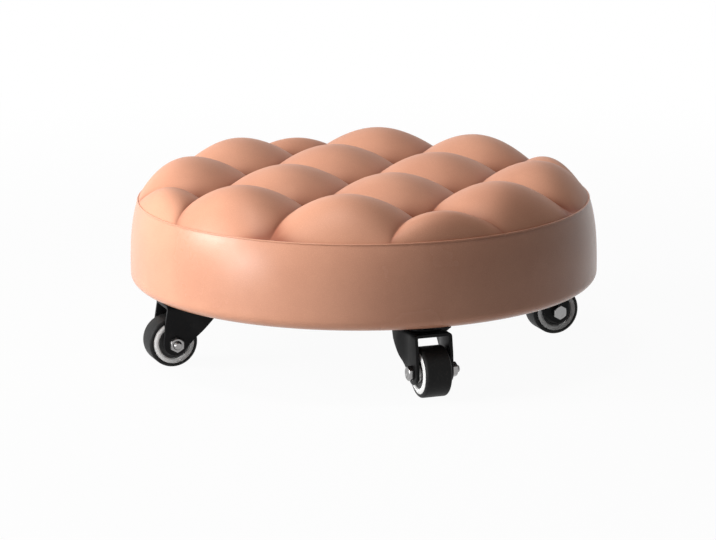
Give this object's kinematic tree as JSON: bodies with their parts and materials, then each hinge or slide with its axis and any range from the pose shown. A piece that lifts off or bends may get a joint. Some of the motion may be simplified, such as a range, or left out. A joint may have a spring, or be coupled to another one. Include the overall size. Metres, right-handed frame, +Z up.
{
  "type": "rolling stool",
  "caption": "Low round rolling stool: a deep-tufted leather seat with a smooth side band, on fork casters that swivel and roll.",
  "frame": {"origin": "on the floor, under the middle of the round seat", "axes": "+Z up from the floor to the seat, +X to the right and +Y away from the side that the picture shows"},
  "size_m": [0.36, 0.36, 0.149],
  "materials": {
    "leather_top": "satin",
    "leather_band": "satin",
    "leather_bead": "satin",
    "plywood": "matte",
    "foam": "matte",
    "nylon_cord": "matte",
    "black_cloth": "matte",
    "staple_steel": "satin",
    "black_paint": "satin",
    "bright_steel": "polished",
    "ball_steel": "polished",
    "pin_steel": "satin",
    "pale_plastic": "satin",
    "tyre_rubber": "matte",
    "dark_plastic": "satin"
  },
  "bodies": {
    "seat": {"seat_board": "plywood", "foam_core": "foam", "side_padding": "foam", "tufted_top": "leather_top", "side_band": "leather_band", "seam_bead": "leather_bead", "dust_cover": "black_cloth", "tuft_ties": "nylon_cord", "cover_staples": "staple_steel", "mount_plate_right": "black_paint", "mount_plate_rear": "black_paint", "mount_plate_left": "black_paint", "mount_plate_front": "black_paint", "plate_screws_right": "black_paint", "plate_screws_rear": "black_paint", "plate_screws_left": "black_paint", "plate_screws_front": "black_paint", "king_pin_right": "pin_steel", "king_pin_rear": "pin_steel", "king_pin_left": "pin_steel", "king_pin_front": "pin_steel"},
    "caster_right": {"fork_right": "black_paint", "swivel_balls_right": "ball_steel", "axle_bolt_right": "bright_steel", "axle_nut_right": "bright_steel", "axle_sleeve_right": "pin_steel"},
    "wheel_right": {"wheel_core_right": "pale_plastic", "tyre_right": "tyre_rubber", "hub_caps_right": "dark_plastic"},
    "caster_rear": {"fork_rear": "black_paint", "swivel_balls_rear": "ball_steel", "axle_bolt_rear": "bright_steel", "axle_nut_rear": "bright_steel", "axle_sleeve_rear": "pin_steel"},
    "wheel_rear": {"wheel_core_rear": "pale_plastic", "tyre_rear": "tyre_rubber", "hub_caps_rear": "dark_plastic"},
    "caster_left": {"fork_left": "black_paint", "swivel_balls_left": "ball_steel", "axle_bolt_left": "bright_steel", "axle_nut_left": "bright_steel", "axle_sleeve_left": "pin_steel"},
    "wheel_left": {"wheel_core_left": "pale_plastic", "tyre_left": "tyre_rubber", "hub_caps_left": "dark_plastic"},
    "caster_front": {"fork_front": "black_paint", "swivel_balls_front": "ball_steel", "axle_bolt_front": "bright_steel", "axle_nut_front": "bright_steel", "axle_sleeve_front": "pin_steel"},
    "wheel_front": {"wheel_core_front": "pale_plastic", "tyre_front": "tyre_rubber", "hub_caps_front": "dark_plastic"}
  },
  "joints": [
    {"name": "swivel_right", "type": "hinge", "parent": "seat", "child": "caster_right", "pos_m": [0.1341, 0.04357, 0.045], "axis": [0, 0, 1], "continuous": true},
    {"name": "wheel_spin_right", "type": "hinge", "parent": "caster_right", "child": "wheel_right", "pos_m": [0.14819, 0.0487, 0.019], "axis": [-0.342, 0.9397, 0], "continuous": true},
    {"name": "swivel_rear", "type": "hinge", "parent": "seat", "child": "caster_rear", "pos_m": [-0.04357, 0.1341, 0.045], "axis": [0, 0, 1], "continuous": true},
    {"name": "wheel_spin_rear", "type": "hinge", "parent": "caster_rear", "child": "wheel_rear", "pos_m": [-0.0487, 0.14819, 0.019], "axis": [-0.9397, -0.342, 0], "continuous": true},
    {"name": "swivel_left", "type": "hinge", "parent": "seat", "child": "caster_left", "pos_m": [-0.1341, -0.04357, 0.045], "axis": [0, 0, 1], "continuous": true},
    {"name": "wheel_spin_left", "type": "hinge", "parent": "caster_left", "child": "wheel_left", "pos_m": [-0.14819, -0.0487, 0.019], "axis": [0.342, -0.9397, 0], "continuous": true},
    {"name": "swivel_front", "type": "hinge", "parent": "seat", "child": "caster_front", "pos_m": [0.04357, -0.1341, 0.045], "axis": [0, 0, 1], "continuous": true},
    {"name": "wheel_spin_front", "type": "hinge", "parent": "caster_front", "child": "wheel_front", "pos_m": [0.0487, -0.14819, 0.019], "axis": [0.9397, 0.342, 0], "continuous": true}
  ]
}
